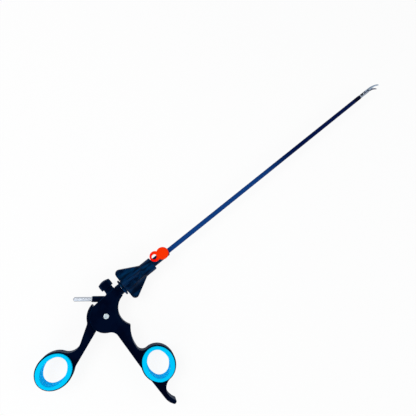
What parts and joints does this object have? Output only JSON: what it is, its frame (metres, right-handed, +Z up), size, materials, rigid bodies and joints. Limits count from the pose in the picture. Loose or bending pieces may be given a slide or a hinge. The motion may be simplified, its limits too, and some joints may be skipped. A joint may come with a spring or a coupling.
{
  "type": "laparoscopic grasper",
  "caption": "Slim ring-handled keyhole surgery grasper: curved toothed jaws on a long insulated shaft with a winged rotation knob, flushing port and contact pin.",
  "frame": {"origin": "on the shaft's axis, at the front face of the flushing hub, where the slim working shaft starts", "axes": "+X along the shaft towards the jaws, +Z up out of the flat handle, +Y away from the finger rings"},
  "size_m": [0.4966, 0.1354, 0.0326],
  "materials": {
    "moulding": "satin navy black moulding",
    "liner": "soft sky blue",
    "cap": "soft orange red",
    "insulation": "smooth black sleeve",
    "slide_plastic": "natural white",
    "seal": "black",
    "bright_steel": "polished stainless steel",
    "steel": "fine turned stainless steel",
    "jaw_steel": "satin stainless steel",
    "gilt": "spring bronze"
  },
  "bodies": {
    "handle": {"handle_body": "moulding", "finger_ring_liner": "liner", "contact_strip": "gilt", "hf_pin": "bright_steel", "pivot_screw": "bright_steel", "pivot_nut": "bright_steel", "slide_washers": "slide_plastic", "neck_bush": "steel"},
    "thumb_lever": {"thumb_lever": "moulding", "thumb_ring_liner": "liner", "ball_seat": "steel", "lever_bush": "steel"},
    "release_button": {"release_button": "moulding", "latch_plate": "steel", "button_spring": "steel"},
    "shaft": {"coupling_sleeve": "steel", "rod_seal": "seal", "knob_flange": "moulding", "rotation_knob": "moulding", "port_hub": "moulding", "luer_port": "steel", "outer_tube": "steel", "shaft_insulation": "insulation", "tool_fork": "steel", "jaw_pivot_pin": "steel"},
    "flush_cap": {"flush_cap": "cap"},
    "drive_rod": {"drive_rod": "steel", "rod_ball": "steel", "rod_yoke": "steel", "yoke_pin": "steel"},
    "upper_jaw": {"upper_jaw": "jaw_steel", "upper_knee_pin": "steel"},
    "lower_jaw": {"lower_jaw": "jaw_steel", "lower_knee_pin": "steel"},
    "upper_link": {"upper_link": "steel"},
    "lower_link": {"lower_link": "steel"}
  },
  "joints": [
    {"name": "thumb_lever_hinge", "type": "hinge", "parent": "handle", "child": "thumb_lever", "pos_m": [-0.0815, -0.0113, 0], "axis": [0, 0, 1], "range_deg": [-6.8, 4]},
    {"name": "shaft_turn", "type": "hinge", "parent": "handle", "child": "shaft", "pos_m": [0, 0, 0], "axis": [1, 0, 0], "continuous": true},
    {"name": "release_button_slide", "type": "slide", "parent": "handle", "child": "release_button", "axis": [0, -1, 0], "range_m": [0, 0.0013], "stiffness_N_per_m": 600, "springref_m": -0.002, "deforming": ["button_spring"]},
    {"name": "cap_slide", "type": "slide", "parent": "shaft", "child": "flush_cap", "axis": [0, 0.1736, 0.9848], "range_m": [0, 0.03]},
    {"name": "rod_slide", "type": "slide", "parent": "shaft", "child": "drive_rod", "axis": [1, 0, 0], "range_m": [-0.0008, 0.00136]},
    {"name": "upper_jaw_hinge", "type": "hinge", "parent": "shaft", "child": "upper_jaw", "pos_m": [0.3203, 0, 0], "axis": [0, 0.9063, -0.4226], "range_deg": [-17, 10]},
    {"name": "lower_jaw_hinge", "type": "hinge", "parent": "shaft", "child": "lower_jaw", "pos_m": [0.3203, 0, 0], "axis": [0, 0.9063, -0.4226], "range_deg": [-10, 17]},
    {"name": "upper_link_hinge", "type": "hinge", "parent": "drive_rod", "child": "upper_link", "pos_m": [0.31171, 0, 0], "axis": [0, 0.9063, -0.4226], "range_deg": [-10, 17]},
    {"name": "lower_link_hinge", "type": "hinge", "parent": "drive_rod", "child": "lower_link", "pos_m": [0.31171, 0, 0], "axis": [0, 0.9063, -0.4226], "range_deg": [-17, 10]}
  ],
  "couplings": [
    {"joint": "rod_slide", "follows": "thumb_lever_hinge", "m_per_rad": -0.0113},
    {"joint": "upper_jaw_hinge", "follows": "thumb_lever_hinge", "ratio": 2.487},
    {"joint": "lower_jaw_hinge", "follows": "thumb_lever_hinge", "ratio": -2.487},
    {"joint": "upper_link_hinge", "follows": "thumb_lever_hinge", "ratio": -2.487},
    {"joint": "lower_link_hinge", "follows": "thumb_lever_hinge", "ratio": 2.487}
  ]
}
